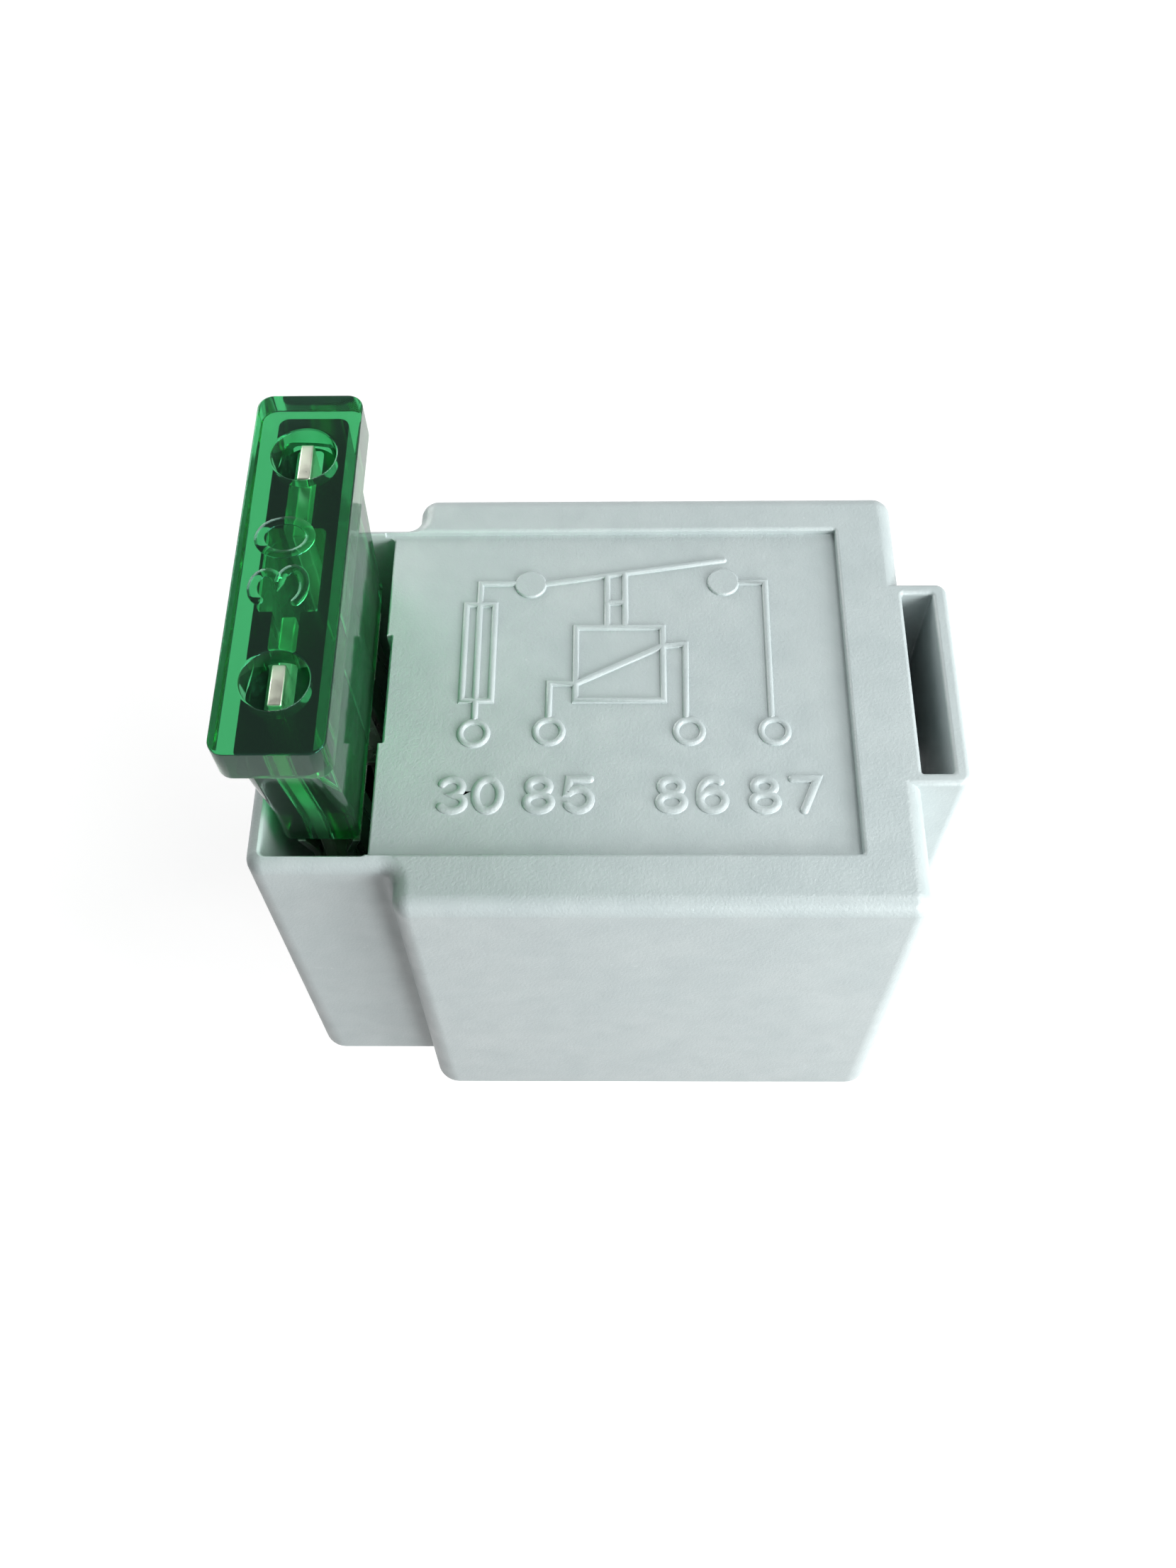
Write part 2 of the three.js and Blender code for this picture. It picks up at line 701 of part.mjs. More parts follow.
// ---- Nodes --------------------------------------------------------------------------------------
const greyPlastic = { color: 0xb9c6c8, roughness: 0.62, metalness: 0 };
const blackPlastic = { color: 0x1c1d1f, roughness: 0.55, metalness: 0 };
const greenPlastic = { color: 0x1f8a4a, roughness: 0.2, metalness: 0, transparent: true, opacity: 0.6 };
const tinned = { color: 0xc3c4c2, roughness: 0.35, metalness: 1 };
const copper = { color: 0xb5673a, roughness: 0.4, metalness: 1 };
const iron = { color: 0x9fa1a3, roughness: 0.4, metalness: 1 };
const silver = { color: 0xd8d6cf, roughness: 0.25, metalness: 1 };
const ivoryPlastic = { color: 0xd9d2bf, roughness: 0.6, metalness: 0 };

const relay = new THREE.Group();

function place(name, shape, finish, parent = relay) {
  const geometry = shape.isBufferGeometry ? shape : geometryOf(shape);
  const mesh = new THREE.Mesh(geometry, new THREE.MeshStandardMaterial(finish));
  mesh.name = name;
  parent.add(mesh);
}

place("cover", cover(), greyPlastic);
place("base", base(), blackPlastic);
place("terminal_30", terminal30(), tinned);
place("terminal_85", coilTerminal(-COIL_TERMINAL_X), tinned);
place("terminal_86", coilTerminal(COIL_TERMINAL_X), tinned);
place("terminal_87", terminal87(), tinned);

place("feed_strip", feedStrip(), tinned);
place("common_strip", commonStrip(), tinned);
place("fuse_clip_back", fuseClip(CLIP_BACK_Y), tinned);
place("fuse_clip_front", fuseClip(CLIP_FRONT_Y), tinned);
place("fuse_housing", fuseHousing(), greenPlastic);
place("fuse_blade_back", fuseBlade(1), tinned);
place("fuse_blade_front", fuseBlade(-1), tinned);
place("fuse_element", fuseElement(), tinned);

place("core", core(), iron);
place("bobbin", bobbin(), ivoryPlastic);
place("winding", winding(), copper);
place("yoke", yoke(), iron);
place("return_spring", wireAlong(new SpringCurve(), SPRING_WIRE_R, 6, SPRING_TURNS * 12), iron);
place("fixed_contact", contact(CONTACT_Y, FIXED_FACE, SHELF_TOP, SHELF_TOP - STRIP_T), silver);

// The coil's two ends, from the winding's lower layer to the coil terminals' tags.
for (const [name, side] of [["coil_lead_85", -1], ["coil_lead_86", 1]]) {
  const lead = wire(
    [
      [side * (WINDING_R + 0.45), COIL_Y - 1.5, 7.5],
      [side * 7.0, -0.6, 7.1],
      [side * 7.3, 0.2, 7.3],
      [side * 7.65, 0.5, 7.9],
    ],
    0.15, 6, 10,
  );
  place(name, lead, copper);
}

// The braid carries the current from the common strip to the leaf, with slack for its motion.
const braid = wire(
  [
    [COMMON_X, -5.85, COMMON_TOP + GAP],
    [COMMON_X, -5.85, 17.6],
    [-9.5, -4.2, 20.3],
    [-7.9, -0.6, 21.7],
    [-5.2, 1.9, 22.2],
    [-2.1, 3.2, 22.1],
  ],
  0.55, 8, 18,
);
place("braid", braid, copper);

const rocker = new THREE.Group();
rocker.position.set(0, HINGE_Y, HINGE_Z);
rocker.rotation.x = -REST_TILT;
relay.add(rocker);
place("armature", armature(), iron, rocker);
place("contact_leaf", contactLeaf(), copper, rocker);
place(
  "moving_contact",
  contact(CONTACT_Y - HINGE_Y, MOVING_FACE, ARMATURE_T + GAP, ARMATURE_T + GAP + LEAF_T),
  silver,
  rocker,
);
place("leaf_rivet_back", leafRivet(RIVET_Y[0]), tinned, rocker);
place("leaf_rivet_front", leafRivet(RIVET_Y[1]), tinned, rocker);

export default relay;
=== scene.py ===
"""The looks of a plug in relay with a built in blade fuse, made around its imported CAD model."""

import json
import math

import bmesh
import bpy
from mathutils import Matrix, Vector


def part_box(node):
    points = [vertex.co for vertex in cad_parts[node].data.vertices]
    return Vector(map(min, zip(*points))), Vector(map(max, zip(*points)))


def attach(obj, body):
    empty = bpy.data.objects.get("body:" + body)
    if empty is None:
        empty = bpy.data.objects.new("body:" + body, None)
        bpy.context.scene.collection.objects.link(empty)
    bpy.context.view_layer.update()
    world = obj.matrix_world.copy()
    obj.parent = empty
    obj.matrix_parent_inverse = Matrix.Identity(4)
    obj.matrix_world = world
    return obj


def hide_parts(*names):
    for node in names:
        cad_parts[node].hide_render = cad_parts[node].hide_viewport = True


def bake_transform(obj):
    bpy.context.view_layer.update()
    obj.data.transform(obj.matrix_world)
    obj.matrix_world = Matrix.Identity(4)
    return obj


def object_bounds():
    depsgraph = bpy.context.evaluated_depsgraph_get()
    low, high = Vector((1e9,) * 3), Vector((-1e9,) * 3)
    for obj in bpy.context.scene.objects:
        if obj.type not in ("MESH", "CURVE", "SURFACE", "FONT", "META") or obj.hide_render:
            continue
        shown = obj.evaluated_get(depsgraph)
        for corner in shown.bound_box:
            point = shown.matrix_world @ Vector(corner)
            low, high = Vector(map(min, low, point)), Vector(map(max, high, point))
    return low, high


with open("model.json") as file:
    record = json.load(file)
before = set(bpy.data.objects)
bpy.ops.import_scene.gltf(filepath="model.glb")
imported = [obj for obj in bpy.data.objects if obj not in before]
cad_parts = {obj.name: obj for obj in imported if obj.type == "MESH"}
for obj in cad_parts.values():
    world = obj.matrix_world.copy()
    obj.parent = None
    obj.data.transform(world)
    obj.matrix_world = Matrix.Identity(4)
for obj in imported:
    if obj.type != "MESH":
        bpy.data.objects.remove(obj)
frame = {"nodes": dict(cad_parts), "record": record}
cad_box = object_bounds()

# Pieces are drawn in millimetres in the CAD's frame, and dress() and flexible() scale them to metres.
# Materials and the stage are in metres. A box seen from above is (x0, x1, y0, y1).
MM = 0.001


def extent(node):
    """The lowest and highest corners of a CAD node, in millimetres."""
    low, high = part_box(node)
    return low / MM, high / MM


BODY_OF = {node: body for body, nodes in frame["record"]["behaviour"]["bodies"].items() for node in nodes}
SLOT_OF = {row["node"]: row["material_slot"] for row in frame["record"]["subparts"]}

cover_low, cover_high = extent("cover")
head_low, head_high = extent("fuse_housing")

# ---- Driving dimensions --------------------------------------------------------------------------
# Cover. The walls flare out by DRAFT at the bottom.
DRAFT = 0.4
TOP = cover_high.z
BLOCK_W = 25.4
BLOCK_BACK = cover_high.y - DRAFT
BLOCK_FRONT = cover_low.y + DRAFT
TOP_ROUND = 0.9
BLOCK_CORNER = 0.95
FOOT_ROUND = 0.25

# The fuse's pocket. The rim of its mouth is rounded by RIM_ROUND, but by LIP along the panel, where a
# notch widens it.
POCKET_LEFT = cover_low.x + DRAFT
POCKET_FRONT = -10.1
POCKET_BACK = 10.3
INNER_CORNER = 0.7
MOUTH = (-19.1, -14.0, -9.35, 9.7)
MOUTH_CORNER = 0.3
RIM_ROUND = 0.28
LIP = 0.15
LIP_CORNER = 0.1
LIP_FOOT = 20
NOTCH_X = -13.7
NOTCH_Y = (-3.0, 3.45)
NOTCH_REACH = 1.0
NOTCH_CORNER = 0.1
NOTCH_ROUND = 0.08

# The hollow for the works, a bay that widens it towards the pocket, and the passage between the two.
# The bay and the passage run into the hollow as far as BAY_END.
CAVITY = (-11.4, 11.4, -11.1, 11.1)
CAVITY_CORNER = 0.6
CEILING = 23.4
SIDE_BAY_X = -12.6
SIDE_BAY_MARGIN = 0.6
BAY_END = -11
PASSAGE_TOP = 4.2
PASSAGE_REACH = 1
PASSAGE_MARGIN = 0.01

PANEL_DEPTH = 0.4
PANEL = (-14.5, 9.55, -9.3, 9.85)
PANEL_FLOOR = TOP - PANEL_DEPTH
PANEL_CORNER = 0.08
PANEL_ROUND = 0.2

LOOP = (10.55, 15.08, -5.63, 6.3)
LOOP_BOTTOM = 9.0
LOOP_CORNER = 0.6
SLOT = (12.72, 14.29, -4.98, 5.65)
SLOT_CORNER = 0.12
SLOT_ROUND = 0.22

# How far a cutting tool reaches past the face that it opens, and the least radius of a corner.
PAST = 1.0
LEAST_RADIUS = 0.02

# Raised diagram on the panel.
LINE_R = 0.17
LINE_H = 0.14
DIGIT_R = 0.22
DIGIT_H = 0.13
LEAST_MITRE = 0.5

# Fuse.
FUSE_X = (head_low.x + head_high.x) / 2
FUSE_Y = (head_low.y + head_high.y) / 2
FUSE_TOP = head_high.z
FUSE_BOTTOM = head_low.z
HEAD_W = head_high.x - head_low.x
HEAD_L = head_high.y - head_low.y
HEAD_H = 2.15
HEAD_ROUND = 0.12
HEAD_CORNER = 0.75
BODY_W = 3.8
BODY_L = 15.5
BODY_CORNER = 0.5
BODY_ROUND = 0.3
# How far below the head's underside the body has each width and length, where its shoulders slope in.
SHOULDERS = [(7.5, BODY_W, BODY_L), (3.0, 3.6, 17.5), (-0.4, 3.35, 19.0)]
CHAMBER_W = 1.25
CHAMBER_L = 15.0
CHAMBER_CORNER = 0.25
CHAMBER_TOP = FUSE_TOP - 1.0
ELEMENT_ROOM_W = 2.7
ELEMENT_ROOM_L = 4.6
ELEMENT_ROOM_CORNER = 0.3
WINDOW_R = 1.5
WINDOW_Y = 6.2
WINDOW_DEPTH = 1.3
WINDOW_ROUND = 0.12
RATING_X = FUSE_X - 0.35
RATING_W = 1.9
RATING_TALL = 2.3
RATING_PITCH = 2.7
RATING_R = 0.25
RATING_H = 0.10
RATING_SUNK = 0.02


# ---- Mesh helpers --------------------------------------------------------------------------------
def outline(corners, grow=0.0, steps=8):
    """A plan with square corners, anticlockwise, each (x, y, radius), grown outwards by grow."""
    points = []
    for i, (x, y, radius) in enumerate(corners):
        here = Vector((x, y))
        ahead = (here - Vector(corners[i - 1][:2])).normalized()
        onward = (Vector(corners[(i + 1) % len(corners)][:2]) - here).normalized()
        side = 1 if ahead.cross(onward) > 0 else -1
        left = Vector((-ahead.y, ahead.x))
        r = max(radius + side * grow, LEAST_RADIUS)
        centre = here - left * grow + ahead * (side * grow) - ahead * r + left * (side * r)
        for k in range(steps + 1):
            angle = math.pi / 2 * k / steps
            points.append(centre - left * (side * r * math.cos(angle)) + ahead * (r * math.sin(angle)))
    return points


def rectangle(x0, x1, y0, y1, radius):
    return [(x0, y0, radius), (x1, y0, radius), (x1, y1, radius), (x0, y1, radius)]


def plan_of(box, radius, steps=5):
    """The outline of a box as a function of how much it is grown."""
    def plan(grow):
        return outline(rectangle(*box, radius), grow, steps)

    return plan


def circle_of(x, y, radius, sides=48):
    """The outline of a circle as a function of how much it is grown."""
    def plan(grow):
        turn = 2 * math.pi / sides
        r = radius + grow
        return [Vector((x + r * math.cos(turn * k), y + r * math.sin(turn * k))) for k in range(sides)]

    return plan


def bridge(bm, low, high):
    """Faces between two closed rings with equal numbers of vertices."""
    for i in range(len(low)):
        j = (i + 1) % len(low)
        bm.faces.new((low[i], low[j], high[j], high[i]))


def loft(rings):
    """A closed mesh through outlines with equal numbers of points, each (z, points), from low to high."""
    bm = bmesh.new()
    rows = [[bm.verts.new((p.x, p.y, z)) for p in points] for z, points in rings]
    bm.faces.new(rows[0][::-1])
    bm.faces.new(rows[-1])
    for low, high in zip(rows, rows[1:]):
        bridge(bm, low, high)
    return bm


def prism(points, z0, z1):
    return loft([(z0, points), (z1, points)])


def block(x0, x1, y0, y1, z0, z1):
    return prism([Vector(p) for p in ((x0, y0), (x1, y0), (x1, y1), (x0, y1))], z0, z1)


def rounded_top(plan, z, radius, steps=6):
    """Rings of a rounded edge that closes in to the top face at z. plan(grow) gives the outline."""
    rings = []
    for k in range(steps + 1):
        angle = math.pi / 2 * k / steps
        rings.append((z - radius + radius * math.sin(angle), plan(-radius * (1 - math.cos(angle)))))
    return rings


def rounded_foot(plan, z, radius, grow=0.0, steps=4):
    """Rings of a rounded edge that opens out from the bottom face at z."""
    rings = []
    for k in range(steps + 1):
        angle = math.pi / 2 * k / steps
        rings.append((z + radius - radius * math.cos(angle), plan(grow - radius * (1 - math.sin(angle)))))
    return rings


def flared(plan, z0, z1, radius, steps=5):
    """A cutting tool that flares at z1, so that the rim it leaves is rounded."""
    rings = [(z0, plan(0.0))]
    for k in range(steps + 1):
        angle = math.pi / 2 * k / steps
        rings.append((z1 - radius + radius * math.sin(angle), plan(radius * (1 - math.cos(angle)))))
    rings.append((z1 + PAST, plan(radius)))
    return loft(rings)


def linked(name, data):
    """An object in the scene, from a mesh, a lamp or a camera."""
    obj = bpy.data.objects.new(name, data)
    bpy.context.scene.collection.objects.link(obj)
    return obj


def thing(name, bm):
    """An object from a bmesh whose units are millimetres."""
    bmesh.ops.recalc_face_normals(bm, faces=bm.faces)
    mesh = bpy.data.meshes.new(name)
    bm.to_mesh(mesh)
    bm.free()
    return linked(name, mesh)


def boolean(obj, operation, bodies):
    """Joins bodies to obj or cuts them from it, one after another."""
    tools = [thing(obj.name + "_tool", bm) for bm in bodies]
    for tool in tools:
        modifier = obj.modifiers.new("boolean", "BOOLEAN")
        modifier.operation = operation
        modifier.solver = "MANIFOLD"
        modifier.object = tool
    graph = bpy.context.evaluated_depsgraph_get()
    mesh = bpy.data.meshes.new_from_object(obj.evaluated_get(graph))
    obj.modifiers.clear()
    obj.data = mesh
    for tool in tools:
        bpy.data.objects.remove(tool)


def join(obj, bodies):
    boolean(obj, "UNION", bodies)


def cut(obj, bodies):
    boolean(obj, "DIFFERENCE", bodies)


def dress(obj, node, smooth_angle=32):
    """Scales a finished piece to metres, shades it, and gives it the body and finish of its CAD node."""
    obj.data.transform(Matrix.Scale(MM, 4))
    obj.data.materials.clear()
    obj.data.materials.append(FINISHES[SLOT_OF[node]])
    obj.data.shade_smooth()
    obj.data.set_sharp_from_angle(angle=math.radians(smooth_angle))
    weighted = obj.modifiers.new("weighted_normals", "WEIGHTED_NORMAL")
    weighted.keep_sharp = True
    weighted.weight = 100
    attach(obj, BODY_OF[node])
    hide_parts(node)


def flexible(obj, node):
    """Scales a round piece to metres, shades it, gives it its CAD node's finish and hides that node. In the
    relay the piece bends or stretches between the frame and the rocker, but here it joins no body and keeps
    one shape.
    """
    obj.data.transform(Matrix.Scale(MM, 4))
    obj.data.materials.append(FINISHES[SLOT_OF[node]])
    obj.data.shade_smooth()
    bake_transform(obj)
    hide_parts(node)


# ---- Material helpers ----------------------------------------------------------------------------
class Shader:
    """A node material with one Principled shader, and short ways to add to it."""

    def __init__(self, name, **values):
        self.material = bpy.data.materials.new(name)
        self.material.use_nodes = True
        self.tree = self.material.node_tree
        self.nodes = self.tree.nodes
        self.surface = self.nodes["Principled BSDF"]
        for socket, value in values.items():
            self.surface.inputs[socket.replace("_", " ")].default_value = value

    def node(self, kind, **values):
        """A new node, with the values of some of its inputs."""
        node = self.nodes.new(kind)
        for socket, value in values.items():
            node.inputs[socket.replace("_", " ")].default_value = value
        return node

    def link(self, source, target):
        self.tree.links.new(source, target)

    def place(self):
        """Object coordinates, in metres. Every piece's origin is the frame's."""
        return self.nodes.new("ShaderNodeTexCoord").outputs["Object"]

    def noise(self, scale, detail=2.0, roughness=0.5):
        noise = self.node("ShaderNodeTexNoise", Scale=scale, Detail=detail, Roughness=roughness)
        self.link(self.place(), noise.inputs["Vector"])
        return noise.outputs["Fac"]

    def ramp(self, source, start, end):
        """Eases from one colour at 0.3 to another at 0.7, where most of a noise lies."""
        ramp = self.node("ShaderNodeValToRGB")
        ramp.color_ramp.interpolation = "EASE"
        for element, position, colour in zip(ramp.color_ramp.elements, (0.3, 0.7), (start, end)):
            element.position = position
            element.color = (*colour, 1.0)
        self.link(source, ramp.inputs["Fac"])
        return ramp.outputs["Color"]

    def span(self, source, low, high, out_low, out_high):
        """Maps low..high to out_low..out_high, held at the ends."""
        node = self.node("ShaderNodeMapRange", From_Min=low, From_Max=high, To_Min=out_low, To_Max=out_high)
        self.link(source, node.inputs["Value"])
        return node.outputs["Result"]

    def mix(self, factor, a, b):
        """Mixes two colours, each a tuple or another node's output."""
        node = self.nodes.new("ShaderNodeMix")
        node.data_type = "RGBA"
        self.link(factor, node.inputs[0])
        for socket, value in ((node.inputs[6], a), (node.inputs[7], b)):
            if isinstance(value, tuple):
                socket.default_value = (*value, 1.0)
            else:
                self.link(value, socket)
        return node.outputs[2]

    def colour(self, source):
        self.link(source, self.surface.inputs["Base Color"])

    def roughness(self, source):
        self.link(source, self.surface.inputs["Roughness"])

    def bump(self, height, distance, strength):
        bump = self.node("ShaderNodeBump", Distance=distance, Strength=strength)
        self.link(height, bump.inputs["Height"])
        self.link(bump.outputs["Normal"], self.surface.inputs["Normal"])


# ---- Materials -----------------------------------------------------------------------------------
# The noise scale of a moulding's fine grain, and depths of bumps in metres.
MOULD_GRAIN = 7000
MOULD_DEPTH = 0.00002
FLOW_DEPTH = 0.00003
METAL_DEPTH = 0.00001
WHITE = (1.0, 1.0, 1.0, 1.0)


def cover_plastic():
    """Matte pale grey-blue moulding, with a fine eroded grain, faint clouds and small specks."""
    s = Shader("cover_plastic", Specular_IOR_Level=0.7)
    clouds = s.ramp(s.noise(160, 3.0, 0.6), (0.414, 0.480, 0.484), (0.444, 0.506, 0.508))
    patches = s.noise(620, 2.0, 0.5)
    tone = s.mix(s.span(patches, 0.35, 0.75, 0.0, 0.5), clouds, (0.366, 0.428, 0.434))
    specks = s.span(s.noise(2300, 1.0, 0.4), 0.79, 0.82, 0.0, 0.3)
    s.colour(s.mix(specks, tone, (0.62, 0.67, 0.67)))
    s.roughness(s.span(s.noise(900, 3.0), 0.3, 0.7, 0.33, 0.45))
    s.bump(s.noise(MOULD_GRAIN, 2.0, 0.6), MOULD_DEPTH, 0.9)
    return s.material


def fuse_plastic():
    """Clear green moulding that absorbs as it gets thicker. Lamps' shadow rays pass through it."""
    s = Shader("fuse_plastic", Roughness=0.07, IOR=1.49, Transmission_Weight=0.975)
    s.surface.inputs["Base Color"].default_value = (0.46, 0.95, 0.67, 1.0)
    s.surface.inputs["Specular Tint"].default_value = (0.1, 0.6, 0.4, 1.0)
    s.bump(s.noise(700, 2.0), FLOW_DEPTH, 0.25)
    output = s.nodes["Material Output"]
    clear = s.node("ShaderNodeBsdfTransparent", Color=(0.75, 0.92, 0.82, 1.0))
    path = s.node("ShaderNodeLightPath")
    mix = s.node("ShaderNodeMixShader")
    s.link(path.outputs["Is Shadow Ray"], mix.inputs["Fac"])
    s.link(s.surface.outputs["BSDF"], mix.inputs[1])
    s.link(clear.outputs["BSDF"], mix.inputs[2])
    s.link(mix.outputs["Shader"], output.inputs["Surface"])
    absorption = s.node("ShaderNodeVolumeAbsorption", Color=(0.0, 0.629, 0.314, 1.0), Density=980.0)
    s.link(absorption.outputs["Volume"], output.inputs["Volume"])
    return s.material


def metal(name, light, dark, rough, scale, brushed=(1, 1, 1)):
    """Metal with a drawn or plated texture: brushed stretches the grain along an axis."""
    s = Shader(name, Metallic=1.0)
    stretch = s.node("ShaderNodeMapping", Scale=brushed)
    s.link(s.place(), stretch.inputs["Vector"])
    noise = s.node("ShaderNodeTexNoise", Scale=scale, Detail=4.0)
    s.link(stretch.outputs["Vector"], noise.inputs["Vector"])
    grain = noise.outputs["Fac"]
    clouds = s.noise(260, 3.0, 0.6)
    s.colour(s.mix(s.span(clouds, 0.3, 0.7, 0.0, 1.0), light, dark))
    s.roughness(s.span(grain, 0.3, 0.7, rough - 0.08, rough + 0.1))
    s.bump(grain, METAL_DEPTH, 0.5)
    return s.material


def plastic(name, light, dark, rough):
    s = Shader(name)
    s.colour(s.ramp(s.noise(240, 3.0, 0.6), dark, light))
    s.roughness(s.span(s.noise(1400, 2.0), 0.3, 0.7, rough - 0.06, rough + 0.08))
    s.bump(s.noise(MOULD_GRAIN, 2.0), MOULD_DEPTH, 0.3)
    return s.material


FINISHES = {
    "cover_plastic": cover_plastic(),
    "base_plastic": plastic("base_plastic", (0.040, 0.042, 0.045), (0.026, 0.028, 0.030), 0.45),
    "tinned_brass": metal("tinned_brass", (0.70, 0.69, 0.66), (0.58, 0.57, 0.55), 0.30, 1500, (1, 1, 0.15)),
    "fuse_plastic": fuse_plastic(),
    "fuse_metal": metal("fuse_metal", (0.76, 0.78, 0.66), (0.60, 0.62, 0.52), 0.34, 1500, (1, 1, 0.2)),
    "magnet_iron": metal("magnet_iron", (0.56, 0.56, 0.55), (0.42, 0.42, 0.41), 0.42, 2200),
    "bobbin_plastic": plastic("bobbin_plastic", (0.74, 0.67, 0.52), (0.66, 0.58, 0.43), 0.5),
    "copper_wire": metal("copper_wire", (0.66, 0.27, 0.11), (0.48, 0.17, 0.06), 0.28, 1800),
    "spring_steel": metal("spring_steel", (0.50, 0.50, 0.50), (0.36, 0.36, 0.37), 0.3, 1800),
    "leaf_bronze": metal("leaf_bronze", (0.72, 0.44, 0.20), (0.60, 0.34, 0.14), 0.3, 1600, (1, 0.2, 1)),
    "contact_silver": metal("contact_silver", (0.88, 0.87, 0.84), (0.76, 0.75, 0.72), 0.25, 1800),
}

for name, node in frame["nodes"].items():
    node.data.materials.clear()
    node.data.materials.append(FINISHES[SLOT_OF[name]])


# ---- Cover ---------------------------------------------------------------------------------------
def cover_plan(grow):
    x = BLOCK_W / 2
    return outline(
        [
            (-x, BLOCK_FRONT, BLOCK_CORNER),
            (x, BLOCK_FRONT, BLOCK_CORNER),
            (x, BLOCK_BACK, BLOCK_CORNER),
            (-x, BLOCK_BACK, BLOCK_CORNER),
            (-x, POCKET_BACK, INNER_CORNER),
            (POCKET_LEFT, POCKET_BACK, BLOCK_CORNER),
            (POCKET_LEFT, POCKET_FRONT, BLOCK_CORNER),
            (-x, POCKET_FRONT, INNER_CORNER),
        ],
        grow,
    )


def cover_shell():
    """The moulding without its marks: the block, the pocket and the loop, and what is cut from them."""
    shell = thing(
        "cover_shell",
        loft(rounded_foot(cover_plan, 0.0, FOOT_ROUND, DRAFT) + rounded_top(cover_plan, TOP, TOP_ROUND)),
    )
    loop = plan_of(LOOP, LOOP_CORNER, 8)
    join(shell, [loft(rounded_foot(loop, LOOP_BOTTOM, FOOT_ROUND) + rounded_top(loop, TOP, RIM_ROUND, 4))])
    x0, x1, y0, y1 = MOUTH
    step = ((x0 + x1) / 2, x1, y0 + LIP, y1 - LIP)
    notch = (x1 - NOTCH_REACH, NOTCH_X, *NOTCH_Y)
    bay = (SIDE_BAY_X, BAY_END, y0 + SIDE_BAY_MARGIN, y1 - SIDE_BAY_MARGIN)
    passage = (x1 - PASSAGE_REACH, BAY_END, y0 + PASSAGE_MARGIN, y1 - PASSAGE_MARGIN)
    tools = [
        prism(plan_of(CAVITY, CAVITY_CORNER)(0), -PAST, CEILING),
        flared(plan_of(MOUTH, MOUTH_CORNER), -PAST, TOP, RIM_ROUND),
        block(*bay, -PAST, CEILING),
        block(*passage, -PAST, PASSAGE_TOP),
        flared(plan_of(PANEL, PANEL_CORNER), PANEL_FLOOR, TOP, PANEL_ROUND),
        flared(plan_of(step, LIP_CORNER), LIP_FOOT, PANEL_FLOOR, LIP - 0.01),
        flared(plan_of(notch, NOTCH_CORNER), CEILING, PANEL_FLOOR, NOTCH_ROUND),
        flared(plan_of(SLOT, SLOT_CORNER), LOOP_BOTTOM - PAST, TOP, SLOT_ROUND),
    ]
    cut(shell, tools)
    return shell


# The strokes of the diagram and of the digits are lines of (x, y) points with rounded sections.
def rib(points, radius, height, z, closed=False, sides=12, cap_steps=4):
    """A bead along a flat line, half above z and half below, with rounded ends."""
    bm = bmesh.new()
    path = [Vector(p) for p in points]
    count = len(path)

    def ring(centre, across, scale=1):
        verts = []
        for k in range(sides):
            angle = 2 * math.pi * k / sides
            flat = centre + across * (radius * scale * math.cos(angle))
            verts.append(bm.verts.new((flat.x, flat.y, z + height * scale * math.sin(angle))))
        return verts

    def left_of(direction):
        return Vector((-direction.y, direction.x))

    start = (path[1] - path[0]).normalized()
    finish = (path[-1] - path[-2]).normalized()
    rings = []
    for i, point in enumerate(path):
        if i == 0 and not closed:
            rings.append(ring(point, left_of(start)))
        elif i == count - 1 and not closed:
            rings.append(ring(point, left_of(finish)))
        else:
            inward = (point - path[i - 1]).normalized()
            onward = (path[(i + 1) % count] - point).normalized()
            middle = (inward + onward).normalized()
            stretch = 1 / max(middle.dot(inward), LEAST_MITRE)
            rings.append(ring(point, left_of(middle) * stretch))
    if closed:
        pairs = zip(rings, rings[1:] + rings[:1])
    else:
        for k in range(1, cap_steps):
            angle = math.pi / 2 * k / cap_steps
            reach = radius * math.sin(angle)
            rings.insert(0, ring(path[0] - start * reach, left_of(start), math.cos(angle)))
            rings.append(ring(path[-1] + finish * reach, left_of(finish), math.cos(angle)))
        pairs = zip(rings, rings[1:])
    for a, b in pairs:
        bridge(bm, a, b)
    if not closed:
        for end, tip in ((rings[0], path[0] - start * radius), (rings[-1], path[-1] + finish * radius)):
            apex = bm.verts.new((tip.x, tip.y, z))
            for k in range(sides):
                bm.faces.new((end[k], end[(k + 1) % sides], apex))
    return bm


def arc(x, y, rx, ry, start, end, steps=14):
    """Points along an ellipse from one angle to another, in degrees."""
    points = []
    for k in range(steps + 1):
        angle = math.radians(start + (end - start) * k / steps)
        points.append((x + rx * math.cos(angle), y + ry * math.sin(angle)))
    return points


def oval(x, y, rx, ry, count=30):
    """Points round a whole ellipse."""
    return arc(x, y, rx, ry, 0, 360 - 360 / count, count - 1)


# Where the circuit's parts lie on the panel: its discs, rings, symbols, the arm and the bars to it.
DISCS = [(-6.60, 6.55), (3.51, 6.66)]
TERMINAL_RINGS = [(-9.22, -2.51), (-5.47, -2.41), (1.51, -2.41), (5.75, -2.41)]
DISC_R = 0.84
FUSE_SYMBOL = (-9.92, -8.43, -0.60, 5.27)
COIL_SYMBOL = (-4.18, 0.28, -0.60, 3.82)
ARM_START, ARM_END = (-5.80, 6.62), (3.59, 8.11)
LINK_X = (-2.58, -1.64)
LINK_BAR_Y = 5.38
# The bends of the wires from disc to ring, and the wire from ring 85 across the coil to ring 86.
WIRE_30 = (-9.23, 6.64)
WIRE_87 = (5.70, 6.65)
COIL_WIRE = [(-5.50, 0.43), (-4.24, 0.36), (0.23, 2.65), (1.44, 2.77)]
COIL_WIRE_ENDS_X = (-5.51, 1.37)
WIRE_87_END_X = 5.63


